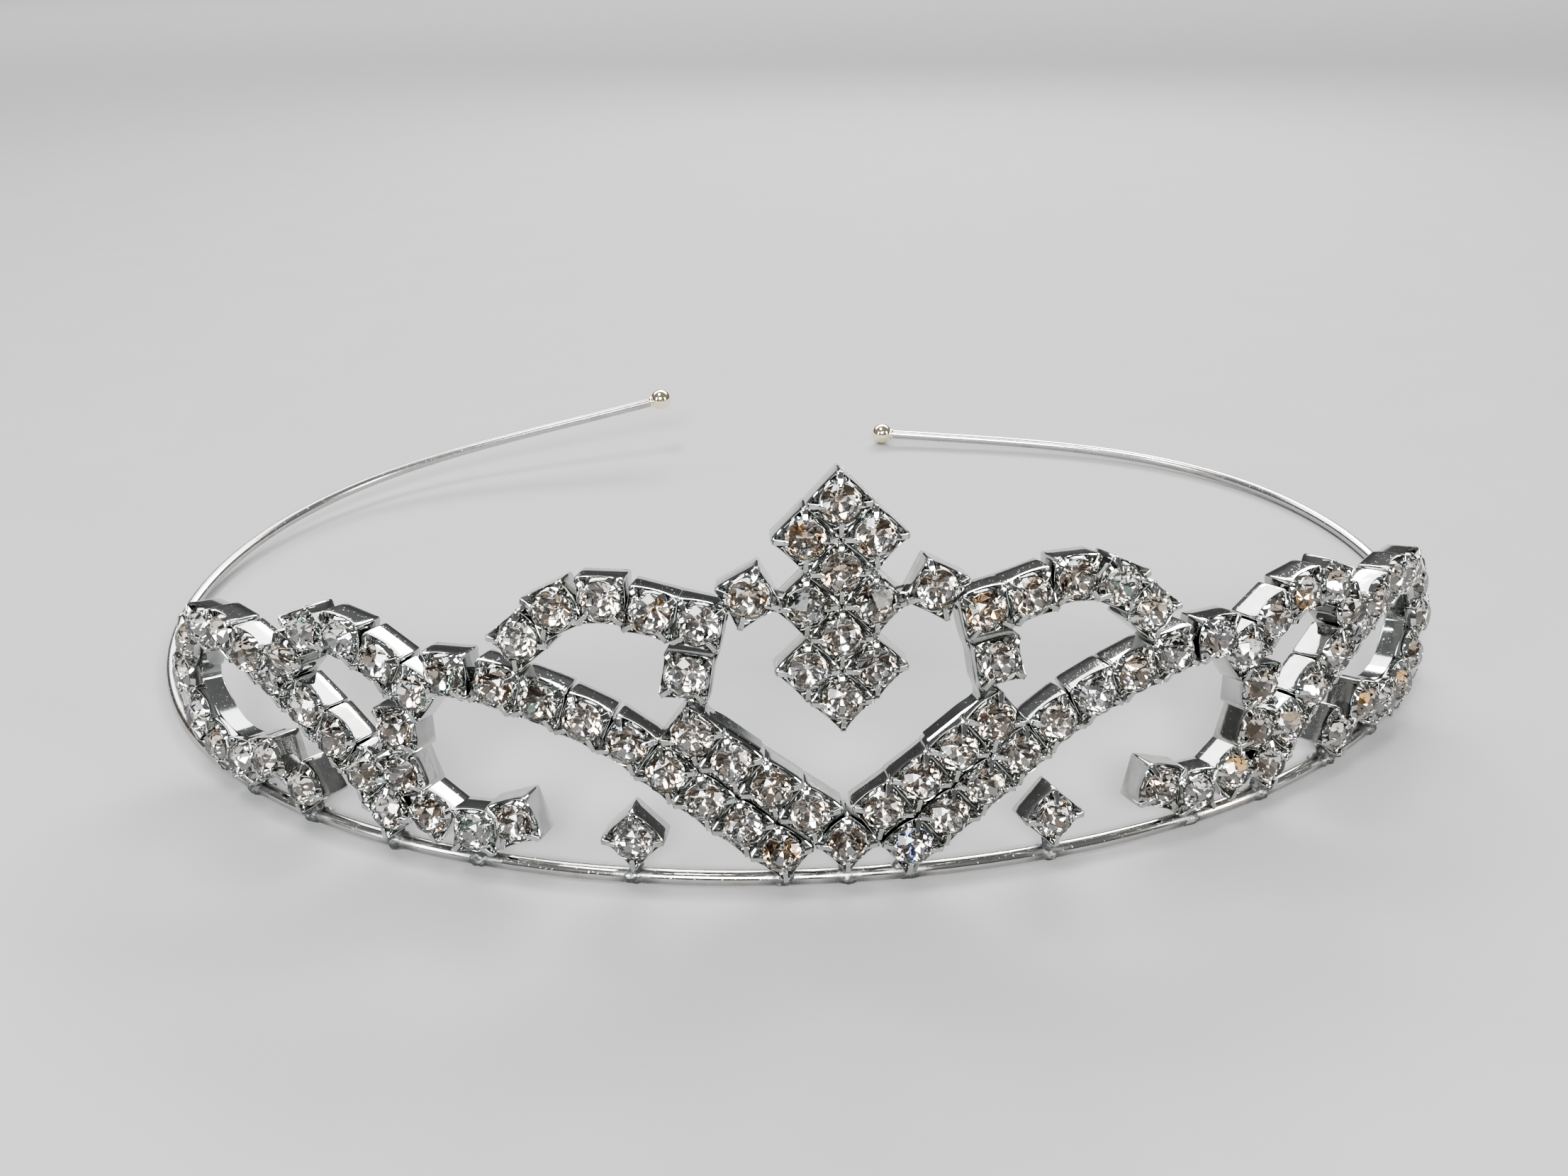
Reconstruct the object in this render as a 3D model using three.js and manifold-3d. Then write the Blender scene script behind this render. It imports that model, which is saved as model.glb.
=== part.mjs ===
// Bridal tiara: rows of square stone cups standing on a sprung wire headband.
// Millimetres. The front of the tiara faces -Y, the arms run back to +Y, and it rests on z = 0.
import * as THREE from "three";
import { mergeVertices } from "three/addons/utils/BufferGeometryUtils.js";
import Module from "manifold-3d";

const wasm = await Module();
wasm.setup();

// Headband: a round wire that bends gently at the front and tighter towards the sides.
const WIRE_DIAMETER = 1.4;
const REST_FLAT = 0.02; // how deep the underside of the wire is worn flat where it rests
const FRONT_RADIUS = 111;
const SIDE_RADIUS = 40.2;
const SIDE_AT = 130.5; // length of wire from the front to the tightest bend
const ARM_LENGTH = 186.6; // length of wire from the front to each tip
const LEVEL_LENGTH = 75; // length of each arm that lies level, counted from the front
const BALL_DIAMETER = 3.4;
const LEFT_SPRING = 7.2; // how far the left tip stands above the right one

// Cups and stones.
const PITCH = 4.1;
const TURN_SPREAD = 0.1; // share of a pitch added per radian that a row turns
const CUP_SIDE = 1.005 * PITCH; // neighbours in a row are soldered edge to edge
const CUP_DEPTH = 3.1;
const STONE_DIAMETER = 0.88 * CUP_SIDE;
const TABLE_DIAMETER = 0.58 * STONE_DIAMETER;
const CROWN_HEIGHT = 0.75;
const GIRDLE_DEPTH = 0.25;
const PAVILION_DEPTH = 1.5;
const PRONG_RISE = 0.55;
const PRONG_LIP = 0.1; // the tip of a prong over its shoulders
const STONE_FACETS = 8;

// The wall of cups stands over the wire and leans in towards the head.
const LEAN = 11.4;
const WALL_OFFSET = 2.2; // cup rims in front of the wire's middle, at the level of the table
const ORNAMENT_LEAN = 8.6;
const ORNAMENT_SET_BACK = 1.6;
const ORNAMENT_RISE = 7.88; // pitches from the wire up to the top cup

// Fits.
const FIT_GAP = 0.05;
const LINK_WIDTH = 1.1;
const LINK_BACK = 0.9; // from the back of the cups to the middle of the links
const POST_DIAMETER = 0.9;
const CRUMB = 0.5; // mm3

const WIRE_RADIUS = WIRE_DIAMETER / 2;
const WIRE_LEVEL = WIRE_RADIUS - REST_FLAT; // height of the middle of the wire along the front
const LINK_DEPTH = CUP_DEPTH - LINK_BACK; // how far behind the rims the links run
const SETTING_TOP = Math.max(CROWN_HEIGHT, PRONG_RISE + PRONG_LIP);
const rad = THREE.MathUtils.degToRad;
const leanTan = Math.tan(rad(LEAN));

const SILVER = { color: 0xd9dbde, roughness: 0.14, metalness: 1 };
const GOLD_TIP = { color: 0xe6dfc4, roughness: 0.18, metalness: 1 };
const CRYSTAL = { color: 0xe9eef2, roughness: 0.05, metalness: 0.1 };

// ---------------------------------------------------------------- headband line

function bendAt(along) {
  const front = 1 / FRONT_RADIUS;
  const side = 1 / SIDE_RADIUS;
  if (along >= ARM_LENGTH) return 0;
  if (along < SIDE_AT) {
    return front + (side - front) * Math.sin((Math.PI / 2) * (along / SIDE_AT)) ** 2;
  }
  return side * Math.cos((Math.PI / 2) * ((along - SIDE_AT) / (ARM_LENGTH - SIDE_AT))) ** 2;
}

const BAND_STEP = 0.25;
const bandLine = [{ x: 0, y: 0, angle: 0 }];
while (bandLine.length * BAND_STEP <= ARM_LENGTH + 5) {
  const last = bandLine[bandLine.length - 1];
  const middle = (bandLine.length - 0.5) * BAND_STEP;
  const angle = last.angle + bendAt(middle) * BAND_STEP;
  const mean = (last.angle + angle) / 2;
  bandLine.push({
    x: last.x + BAND_STEP * Math.cos(mean),
    y: last.y + BAND_STEP * Math.sin(mean),
    angle,
  });
}

function band(along) {
  const k = Math.min(along / BAND_STEP, bandLine.length - 2);
  const i = Math.floor(k);
  const a = bandLine[i];
  const b = bandLine[i + 1];
  const mix = (key) => a[key] + (b[key] - a[key]) * (k - i);
  return { x: mix("x"), y: mix("y"), angle: mix("angle"), bend: bendAt(along) };
}

// The tips rise so that each ball clears the table; the left arm springs up further.
function rise(along, side) {
  const past = Math.max(0, along - LEVEL_LENGTH) / (ARM_LENGTH - LEVEL_LENGTH);
  const tip = BALL_DIAMETER / 2 - WIRE_LEVEL + (side < 0 ? LEFT_SPRING : 0);
  return tip * past ** 2;
}

function wirePoint(along, side) {
  const at = band(along);
  return new THREE.Vector3(side * at.x, at.y, WIRE_LEVEL + rise(along, side));
}

class BandCurve extends THREE.Curve {
  constructor(extra = 0) {
    super();
    this.reach = ARM_LENGTH + extra;
  }
  getPoint(t) {
    const along = this.reach * (1 - 2 * t);
    return wirePoint(Math.abs(along), Math.sign(along) || 1);
  }
}

// ---------------------------------------------------------------- solids

function positionsOnly(geometry) {
  const bare = new THREE.BufferGeometry();
  bare.setAttribute("position", geometry.getAttribute("position").clone());
  if (geometry.index) bare.setIndex(geometry.index.clone());
  return mergeVertices(bare, 1e-4);
}

function solid(geometry, matrix) {
  const world = positionsOnly(geometry);
  if (matrix) world.applyMatrix4(matrix);
  const mesh = new wasm.Mesh({
    numProp: 3,
    vertProperties: new Float32Array(world.attributes.position.array),
    triVerts: new Uint32Array(world.index.array),
  });
  return new wasm.Manifold(mesh);
}

function geometryOf(made) {
  const mesh = made.getMesh();
  const points = new Float32Array(mesh.numVert * 3);
  for (let i = 0; i < mesh.numVert; i++) {
    points.set(mesh.vertProperties.subarray(i * mesh.numProp, i * mesh.numProp + 3), i * 3);
  }
  const geometry = new THREE.BufferGeometry();
  geometry.setAttribute("position", new THREE.BufferAttribute(points, 3));
  geometry.setIndex(new THREE.BufferAttribute(new Uint32Array(mesh.triVerts), 1));
  return geometry;
}

function mirrored(geometry) {
  const turned = geometry.clone();
  turned.scale(-1, 1, 1);
  const index = turned.index.array;
  for (let i = 0; i < index.length; i += 3) {
    [index[i + 1], index[i + 2]] = [index[i + 2], index[i + 1]];
  }
  return turned;
}

const WIRE_STEPS = 81;

function wireGeometry(radius, extra) {
  const shape = new THREE.Shape();
  const corner = radius / Math.cos(Math.PI / 8);
  for (let i = 0; i < 8; i++) {
    const turn = (i + 0.5) * (Math.PI / 4);
    const method = i ? "lineTo" : "moveTo";
    shape[method](corner * Math.cos(turn), corner * Math.sin(turn));
  }
  shape.closePath();
  return new THREE.ExtrudeGeometry(shape, {
    steps: WIRE_STEPS,
    bevelEnabled: false,
    extrudePath: new BandCurve(extra),
  });
}

// A round piece about its own z axis, from a closed profile of [radius, z] points.
function turnedGeometry(profile) {
  const points = profile.map(([r, z]) => new THREE.Vector2(r, z));
  const geometry = new THREE.LatheGeometry(points, STONE_FACETS);
  geometry.rotateX(Math.PI / 2);
  geometry.rotateZ(Math.PI / STONE_FACETS);
  return geometry;
}

function stoneGeometry(gap = 0) {
  const girdle = STONE_DIAMETER / 2 + gap;
  return turnedGeometry([
    [0, -GIRDLE_DEPTH - PAVILION_DEPTH - gap],
    [girdle, -GIRDLE_DEPTH - gap],
    [girdle, gap ? SETTING_TOP : 0],
    [gap ? girdle : TABLE_DIAMETER / 2, gap ? SETTING_TOP : CROWN_HEIGHT],
    [0, gap ? SETTING_TOP : CROWN_HEIGHT],
  ]);
}

// The part of a joined stone that stands out of its cup.
function crownGeometry() {
  const slope = (STONE_DIAMETER - TABLE_DIAMETER) / 2 / CROWN_HEIGHT;
  const foot = -GIRDLE_DEPTH;
  return turnedGeometry([
    [0, foot],
    [STONE_DIAMETER / 2 - slope * foot, foot],
    [TABLE_DIAMETER / 2, CROWN_HEIGHT],
    [0, CROWN_HEIGHT],
  ]);
}

// One claw over a corner of the cup, tapering in over the edge of the stone.
function prongGeometry(quarter) {
  const turn = (quarter + 0.5) * (Math.PI / 2);
  const corner = CUP_SIDE / Math.SQRT2;
  const half = 0.19 * corner;
  const place = (r, w, z) => [
    r * Math.cos(turn) - w * Math.sin(turn),
    r * Math.sin(turn) + w * Math.cos(turn),
    z,
  ];
  const points = [
    place(0.97 * corner, 0, -0.3),
    place(0.78 * corner, half, 0.8 * PRONG_RISE),
    place(0.78 * corner, -half, 0.8 * PRONG_RISE),
    place(0.53 * corner, 0, PRONG_RISE + PRONG_LIP),
  ];
  const faces = [0, 1, 2, 1, 3, 2, 0, 3, 1, 0, 2, 3];
  const geometry = new THREE.BufferGeometry();
  geometry.setAttribute("position", new THREE.Float32BufferAttribute(points.flat(), 3));
  geometry.setIndex(faces);
  return geometry;
}

function barMatrix(from, to, facing) {
  const x = to.clone().sub(from).normalize();
  const y = facing.clone().cross(x).normalize();
  const z = x.clone().cross(y);
  const middle = from.clone().add(to).multiplyScalar(0.5);
  return new THREE.Matrix4().makeBasis(x, y, z).setPosition(middle);
}

function bar(from, to, facing) {
  const box = new THREE.BoxGeometry(from.distanceTo(to), LINK_WIDTH, LINK_WIDTH);
  return solid(box, barMatrix(from, to, facing));
}

// ---------------------------------------------------------------- places on the wall

// A cup's place: its own x runs along the row, its z faces out of the wall.
function frame(origin, tangent, normal, turn) {
  const up = normal.clone().cross(tangent);
  const basis = new THREE.Matrix4().makeBasis(tangent, up, normal);
  return new THREE.Matrix4()
    .setPosition(origin)
    .multiply(basis)
    .multiply(new THREE.Matrix4().makeRotationZ(rad(turn)));
}

function wallPlace(along, height, turn) {
  const at = band(along);
  const outward = new THREE.Vector3(Math.sin(at.angle), -Math.cos(at.angle), 0);
  const tangent = new THREE.Vector3(Math.cos(at.angle), Math.sin(at.angle), 0);
  const normal = outward.clone().multiplyScalar(Math.cos(rad(LEAN)));
  normal.z = Math.sin(rad(LEAN));
  const origin = new THREE.Vector3(at.x, at.y, height);
  origin.addScaledVector(outward, WALL_OFFSET - height * leanTan);
  return { matrix: frame(origin, tangent, normal, turn), origin, normal, along, height };
}

// A place on the wall, in pitches along from the front and up from the top of the wire.
function wallSpot(along, up) {
  return [along * PITCH, WIRE_DIAMETER + up * PITCH];
}

// A row of cups one pitch apart that leaves its first place on the given headings.
function row(along, height, headings) {
  const stops = [[along, height]];
  headings.forEach((heading, i) => {
    const turn = ((headings[i + 1] ?? heading) - (headings[i - 1] ?? heading)) / 2;
    const step = PITCH * (1 + TURN_SPREAD * Math.abs(rad(turn)));
    const reach = WALL_OFFSET - height * leanTan;
    along += (step * Math.cos(rad(heading))) / (1 + band(along).bend * reach);
    height += step * Math.sin(rad(heading)) * Math.cos(rad(LEAN));
    stops.push([along, height]);
  });
  return stops.map(([a, h], i) => {
    const before = headings[i - 1] ?? headings[i];
    const after = headings[i] ?? headings[i - 1];
    return wallPlace(a, h, (before + after) / 2);
  });
}

function behind(place, depth = LINK_DEPTH) {
  return place.origin.clone().addScaledVector(place.normal, -depth);
}

// ---------------------------------------------------------------- settings

const prongs = [0, 1, 2, 3].map(prongGeometry);
const stone = stoneGeometry();
const crown = crownGeometry();
const pocket = stoneGeometry(FIT_GAP);

// Cups soldered edge to edge: one strip, mitred where the row turns.
function strip(places, grow) {
  const half = CUP_SIDE / 2 + grow;
  const top = grow ? SETTING_TOP + grow : 0;
  const bottom = -CUP_DEPTH - grow;
  const axis = (place, column) => new THREE.Vector3().setFromMatrixColumn(place.matrix, column);
  const corners = [];
  for (let i = 0; i <= places.length; i++) {
    const a = places[Math.max(0, i - 1)];
    const b = places[Math.min(places.length - 1, i)];
    const x = axis(a, 0).add(axis(b, 0)).normalize();
    const z = axis(a, 2).add(axis(b, 2)).normalize();
    const y = z.clone().cross(x).normalize();
    const origin = a.origin.clone().add(b.origin).multiplyScalar(0.5);
    if (i === 0) origin.addScaledVector(x, -half);
    if (i === places.length) origin.addScaledVector(x, half);
    const miter = half / x.dot(axis(a, 0));
    for (const [across, deep] of [[-1, bottom], [1, bottom], [1, top], [-1, top]]) {
      corners.push(origin.clone().addScaledVector(y, across * miter).addScaledVector(z, deep));
    }
  }
  const faces = [0, 1, 2, 0, 2, 3];
  for (let i = 0; i < places.length; i++) {
    for (let k = 0; k < 4; k++) {
      const [a, b] = [4 * i + k, 4 * i + ((k + 1) % 4)];
      faces.push(a, a + 4, b, b, a + 4, b + 4);
    }
  }
  const end = 4 * places.length;
  faces.push(end, end + 2, end + 1, end, end + 3, end + 2);
  const geometry = new THREE.BufferGeometry().setFromPoints(corners);
  geometry.setIndex(faces.flatMap((_, i) => (i % 3 ? [] : [faces[i], faces[i + 2], faces[i + 1]])));
  return solid(geometry);
}

// The solder post that stands a cup on the wire below it.
function post(place, top) {
  const foot = WIRE_DIAMETER + FIT_GAP;
  const height = place.height - top - foot;
  const peg = new THREE.CylinderGeometry(POST_DIAMETER / 2, POST_DIAMETER / 2, height, 6);
  peg.rotateX(Math.PI / 2);
  const at = band(place.along);
  return solid(peg, new THREE.Matrix4().makeTranslation(at.x, at.y, foot + height / 2));
}

const wireRoom = solid(wireGeometry(WIRE_RADIUS + FIT_GAP, FIT_GAP));
const blockOf = (spec, grow) => (spec.block ? spec.block(grow) : strip(spec.places, grow));

function cleared(made, others) {
  if (!others.length) return made;
  return made.subtract(wasm.Manifold.union(others.map((other) => blockOf(other, FIT_GAP))));
}

// Joins a row's cups, links and posts. Cups give way to the settings made before them,
// links and posts end short of every cup that isn't their own.
function setting(spec, before, everySpec) {
  const { places, loose, links = [], posts = [] } = spec;
  const pieces = [blockOf(spec, 0)];
  for (const place of places) {
    for (const prong of prongs) pieces.push(solid(prong, place.matrix));
    if (!loose) pieces.push(solid(crown, place.matrix));
  }
  let made = cleared(wasm.Manifold.union(pieces), before);
  const joints = links.map(([from, to, facing]) => bar(from, to, facing));
  for (const [index, top] of posts) joints.push(post(places[index], top));
  if (joints.length) {
    const others = everySpec.filter((other) => other !== spec);
    made = made.add(cleared(wasm.Manifold.union(joints), others));
  }
  if (loose) {
    made = made.subtract(wasm.Manifold.union(places.map((place) => solid(pocket, place.matrix))));
  }
  made = made.subtract(wireRoom);
  // A cut across a prong can leave a crumb of metal behind: keep the setting itself.
  const bodies = made.decompose().sort((a, b) => b.volume() - a.volume());
  if (bodies.length > 1 && bodies[1].volume() > CRUMB) {
    throw new Error(`${spec.name} comes apart: ${bodies.map((b) => b.volume().toFixed(2))}`);
  }
  return geometryOf(bodies[0]);
}

// ---------------------------------------------------------------- centre pieces

// Ten cups on a lattice turned to stand on its corner: the cells either side of a diagonal.
const ORNAMENT_STEPS = 3;

function ornamentPlaces() {
  const lean = rad(ORNAMENT_LEAN);
  const normal = new THREE.Vector3(0, -Math.cos(lean), Math.sin(lean));
  const tangent = new THREE.Vector3(1, 0, 0);
  const [, top] = wallSpot(0, ORNAMENT_RISE);
  const y = top * leanTan - WALL_OFFSET + ORNAMENT_SET_BACK;
  const corner = frame(new THREE.Vector3(0, y, top), tangent, normal, 225);
  const places = [];
  for (let i = 0; i <= ORNAMENT_STEPS; i++) {
    for (let j = Math.max(0, i - 1); j <= Math.min(ORNAMENT_STEPS, i + 1); j++) {
      const shift = new THREE.Matrix4().makeTranslation(i * PITCH, j * PITCH, 0);
      const matrix = corner.clone().multiply(shift);
      const origin = new THREE.Vector3().setFromMatrixPosition(matrix);
      places.push({ matrix, origin, normal, along: 0, height: origin.z });
    }
  }
  return places;
}

function ornamentBlock(grow) {
  const half = CUP_SIDE / 2 + grow;
  const outline = [[-half, -half]];
  const back = [];
  for (let i = 0; i < ORNAMENT_STEPS; i++) {
    outline.push([(i + 1) * PITCH + half, i * PITCH - half]);
    if (i < ORNAMENT_STEPS - 1) outline.push([(i + 1) * PITCH + half, (i + 1) * PITCH - half]);
    back.unshift([i * PITCH - half, (i + 1) * PITCH + half]);
    if (i < ORNAMENT_STEPS - 1) back.unshift([(i + 1) * PITCH - half, (i + 1) * PITCH + half]);
  }
  const far = ORNAMENT_STEPS * PITCH + half;
  const points = [...outline, [far, far], ...back].map(([x, y]) => new THREE.Vector2(x, y));
  const depth = CUP_DEPTH + (grow ? SETTING_TOP + 2 * grow : 0);
  const slab = new THREE.ExtrudeGeometry(new THREE.Shape(points), { depth, bevelEnabled: false });
  slab.translate(0, 0, -CUP_DEPTH - grow);
  return solid(slab, ornament[0].matrix);
}

const ornament = ornamentPlaces();
const centre = wallPlace(...wallSpot(0, 0.88), 45);

// ---------------------------------------------------------------- one side, mirrored for the other

const heartRow = row(...wallSpot(0.76, 1.59), [36, 36, 36]);
const wingRow = row(...wallSpot(1.37, 0.73), [37, 37, 37, 37, 27, 20, 14]);
const wingArch = row(...wallSpot(6.83, 5.17), [137, 165, 193, 193]);
const heartSide = wallPlace(...wallSpot(3.27, 4.59), 98);
const heartLobe = wallPlace(...wallSpot(1.95, 6.22), 152);
const connector = wallPlace(...wallSpot(8.59, 4.22), -4);
const peakArch = row(...wallSpot(9.41, 3.71), [33, 20, -5, -50]);
const footCurl = row(...wallSpot(9.83, 2.8), [264, 231, 192, 160]);
const diagonal = row(...wallSpot(10.1, 0.85), [50, 38, 32, 27, 19, 9, -8]);
const sideLoop = row(...wallSpot(17.0, 2.95), [-74, -134, -156, -178, -202]);
const innerSpacer = wallPlace(...wallSpot(4.49, 0.95), 45);
const outerSpacer = wallPlace(...wallSpot(12.51, 0.8), 48);

const wingTip = wingRow[wingRow.length - 1];
const heartTop = wingArch[wingArch.length - 1];
const ornamentArm = ornament[4];
const cornerFoot = 0.55 * CUP_SIDE;
const edgeFoot = 0.34 * CUP_SIDE;

const SIDE_SETTINGS = [
  { name: "heart_row", places: heartRow, loose: true },
  {
    name: "heart_side",
    places: [heartSide],
    loose: true,
    links: [[behind(heartSide), behind(heartRow[3]), heartSide.normal]],
  },
  {
    name: "heart_lobe",
    places: [heartLobe],
    loose: true,
    links: [
      [behind(heartLobe), behind(heartTop), heartLobe.normal],
      [behind(heartLobe), behind(ornamentArm, 1.2), heartLobe.normal],
    ],
  },
  {
    name: "connector",
    places: [connector],
    loose: true,
    links: [
      [behind(connector), behind(wingTip), connector.normal],
      [behind(connector), behind(peakArch[0]), connector.normal],
    ],
  },
  { name: "inner_spacer", places: [innerSpacer], loose: true, posts: [[0, cornerFoot]] },
  { name: "outer_spacer", places: [outerSpacer], loose: true, posts: [[0, cornerFoot]] },
  { name: "wing_row", places: wingRow, posts: [[0, edgeFoot]] },
  { name: "wing_arch", places: wingArch },
  { name: "diagonal", places: diagonal, posts: [[0, edgeFoot]] },
  { name: "side_loop", places: sideLoop, posts: [[4, edgeFoot]] },
  { name: "foot_curl", places: footCurl, posts: [[3, edgeFoot]] },
  { name: "peak_arch", places: peakArch },
];

// ---------------------------------------------------------------- the tiara

const tiara = new THREE.Group();
tiara.name = "bridal_tiara";

function add(name, geometry, finish) {
  const mesh = new THREE.Mesh(geometry, new THREE.MeshStandardMaterial(finish));
  mesh.name = name;
  tiara.add(mesh);
}

function addStones(name, places, side) {
  places.forEach((place, i) => {
    const cut = geometryOf(solid(stone, place.matrix));
    const label = places.length > 1 ? `${name}_${i + 1}` : name;
    add(label, side < 0 ? mirrored(cut) : cut, CRYSTAL);
  });
}

// Everything below the level of the table, to wear the underside of the wire flat.
function belowTable() {
  const span = 2 * ARM_LENGTH;
  const box = new THREE.BoxGeometry(span, span, WIRE_DIAMETER);
  return solid(box, new THREE.Matrix4().makeTranslation(0, 0, -WIRE_RADIUS));
}

const wire = solid(wireGeometry(WIRE_RADIUS, 0)).subtract(belowTable());
add("headband_wire", geometryOf(wire), SILVER);

for (const side of [1, -1]) {
  const sphere = new THREE.SphereGeometry(BALL_DIAMETER / 2, 10, 6);
  sphere.rotateX(Math.PI / 2);
  const tip = wirePoint(ARM_LENGTH, side);
  const ball = solid(sphere, new THREE.Matrix4().makeTranslation(tip.x, tip.y, tip.z));
  add(side > 0 ? "ball_tip_right" : "ball_tip_left", geometryOf(ball.subtract(wireRoom)), GOLD_TIP);
}

const ornamentSpec = {
  name: "ornament",
  places: ornament,
  loose: true,
  block: ornamentBlock,
};
const centreSpec = { name: "centre", places: [centre], loose: true, posts: [[0, cornerFoot]] };
const everySpec = [ornamentSpec, centreSpec, ...SIDE_SETTINGS];
const made = [];
for (const spec of [ornamentSpec, centreSpec]) {
  add(`${spec.name}_setting`, setting(spec, made, everySpec), SILVER);
  addStones(`${spec.name}_stone`, spec.places, 1);
  made.push(spec);
}
for (const spec of SIDE_SETTINGS) {
  const geometry = setting(spec, made, everySpec);
  add(`${spec.name}_right`, geometry, SILVER);
  add(`${spec.name}_left`, mirrored(geometry), SILVER);
  if (spec.loose) {
    addStones(`${spec.name}_stone_right`, spec.places, 1);
    addStones(`${spec.name}_stone_left`, spec.places, -1);
  }
  made.push(spec);
}

export default tiara;
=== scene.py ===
"""Bridal tiara: rows of square claw cups with foil-backed stones, standing on a sprung wire headband.

Metres. The front faces -Y, the arms run back to +Y, and the tiara rests on z = 0.
"""
import math
import random

import bmesh
import bpy
from mathutils import Matrix, Vector


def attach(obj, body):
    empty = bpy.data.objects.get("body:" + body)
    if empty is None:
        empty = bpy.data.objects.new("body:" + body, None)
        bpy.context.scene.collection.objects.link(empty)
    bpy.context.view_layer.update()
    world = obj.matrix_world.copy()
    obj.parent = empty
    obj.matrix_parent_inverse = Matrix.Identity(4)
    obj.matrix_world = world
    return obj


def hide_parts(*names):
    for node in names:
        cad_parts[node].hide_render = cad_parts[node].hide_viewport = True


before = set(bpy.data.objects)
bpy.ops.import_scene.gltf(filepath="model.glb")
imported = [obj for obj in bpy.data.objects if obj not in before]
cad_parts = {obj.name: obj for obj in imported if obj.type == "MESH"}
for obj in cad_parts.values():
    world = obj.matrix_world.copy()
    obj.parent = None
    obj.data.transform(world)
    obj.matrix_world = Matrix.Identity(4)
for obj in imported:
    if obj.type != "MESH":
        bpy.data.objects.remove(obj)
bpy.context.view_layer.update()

MM = 0.001
RIGHT = 1
LEFT = -1
STONE_SEEDS = 100  # the stones' draws start this far past the cups'
SIDE_NAMES = {RIGHT: "right", LEFT: "left"}

# Headband wire.
WIRE_DIAMETER = 1.4 * MM
FRONT_RADIUS = 111 * MM
SIDE_RADIUS = 40.2 * MM
SIDE_AT = 130.5 * MM  # length of wire from the front to the tightest bend
ARM_LENGTH = 186.6 * MM
LEVEL_LENGTH = 75 * MM
REST_FLAT = 0.02 * MM  # how deep the underside of the wire is worn flat
BALL_DIAMETER = 3.4 * MM
BALL_SIDES = 32
BALL_STEPS = 20
COLLAR_DIAMETER = 1.82 * MM
LEFT_SPRING = 7.2 * MM
BAND_STEP = 0.25 * MM
WIRE_STEPS = 640
WIRE_SIDES = 20

# Cups and stones.
PITCH = 4.1 * MM
TURN_SPREAD = 0.1
CUP_SIDE = 1.005 * PITCH
CUP_DEPTH = 3.1 * MM
STONE_RADIUS = 0.44 * CUP_SIDE
TABLE_RADIUS = 0.58 * STONE_RADIUS
CROWN_HEIGHT = 0.75 * MM
GIRDLE_DEPTH = 0.25 * MM
PAVILION_DEPTH = 1.5 * MM

# The wall of cups.
LEAN = math.radians(11.4)
WALL_OFFSET = 2.2 * MM
ORNAMENT_LEAN = math.radians(8.6)
ORNAMENT_SET_BACK = 1.6 * MM
ORNAMENT_RISE = 7.88
ORNAMENT_STEPS = 3
LINK_BACK = 0.9 * MM
LINK_WIDTH = 1.0 * MM
LINK_THICKNESS = 0.5 * MM
LINK_BOW = 0.12 * MM
ORNAMENT_LINK_DEPTH = 1.2 * MM
STRAP_BACK = -2.9 * MM
JOINT_REACH = 3.2 * MM  # how far from a joint the wire is still blotched with solder and painted shade
LUMP_RADIUS = 0.8 * MM
FILLET_SPREAD = 1.7  # the run of solder to the right of the centre is this much wider
SETTLED = 0.02 * MM  # how far the cups sank back while the solder was soft

WIRE_RADIUS = WIRE_DIAMETER / 2
WIRE_LEVEL = WIRE_RADIUS - REST_FLAT
LINK_DEPTH = CUP_DEPTH - LINK_BACK
WITHIN = 0.995  # keeps the round wire inside its plain stand-in
BALL_WITHIN = 0.94


# ------------------------------------------------------------ nodes by name


class Number:
    """A number in a node tree, so that sums on it add Math nodes."""

    def __init__(self, shop, socket):
        self.shop = shop
        self.socket = socket

    def sum_of(self, operation, *values):
        return Number(self.shop, self.shop.math(operation, *values))

    def __add__(self, other):
        return self.sum_of("ADD", self, other)

    __radd__ = __add__

    def __sub__(self, other):
        return self.sum_of("SUBTRACT", self, other)

    def __rsub__(self, other):
        return self.sum_of("SUBTRACT", other, self)

    def __mul__(self, other):
        return self.sum_of("MULTIPLY", self, other)

    __rmul__ = __mul__

    def above(self, low, high):
        """0 below low, 1 above high, and a straight ramp between."""
        spread = self.shop.node(
            "ShaderNodeMapRange",
            {"clamp": True},
            {"Value": self, "From Min": low, "From Max": high},
        )
        return Number(self.shop, spread.outputs["Result"])

    def part(self):
        return self.sum_of("FRACT", self)


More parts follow.
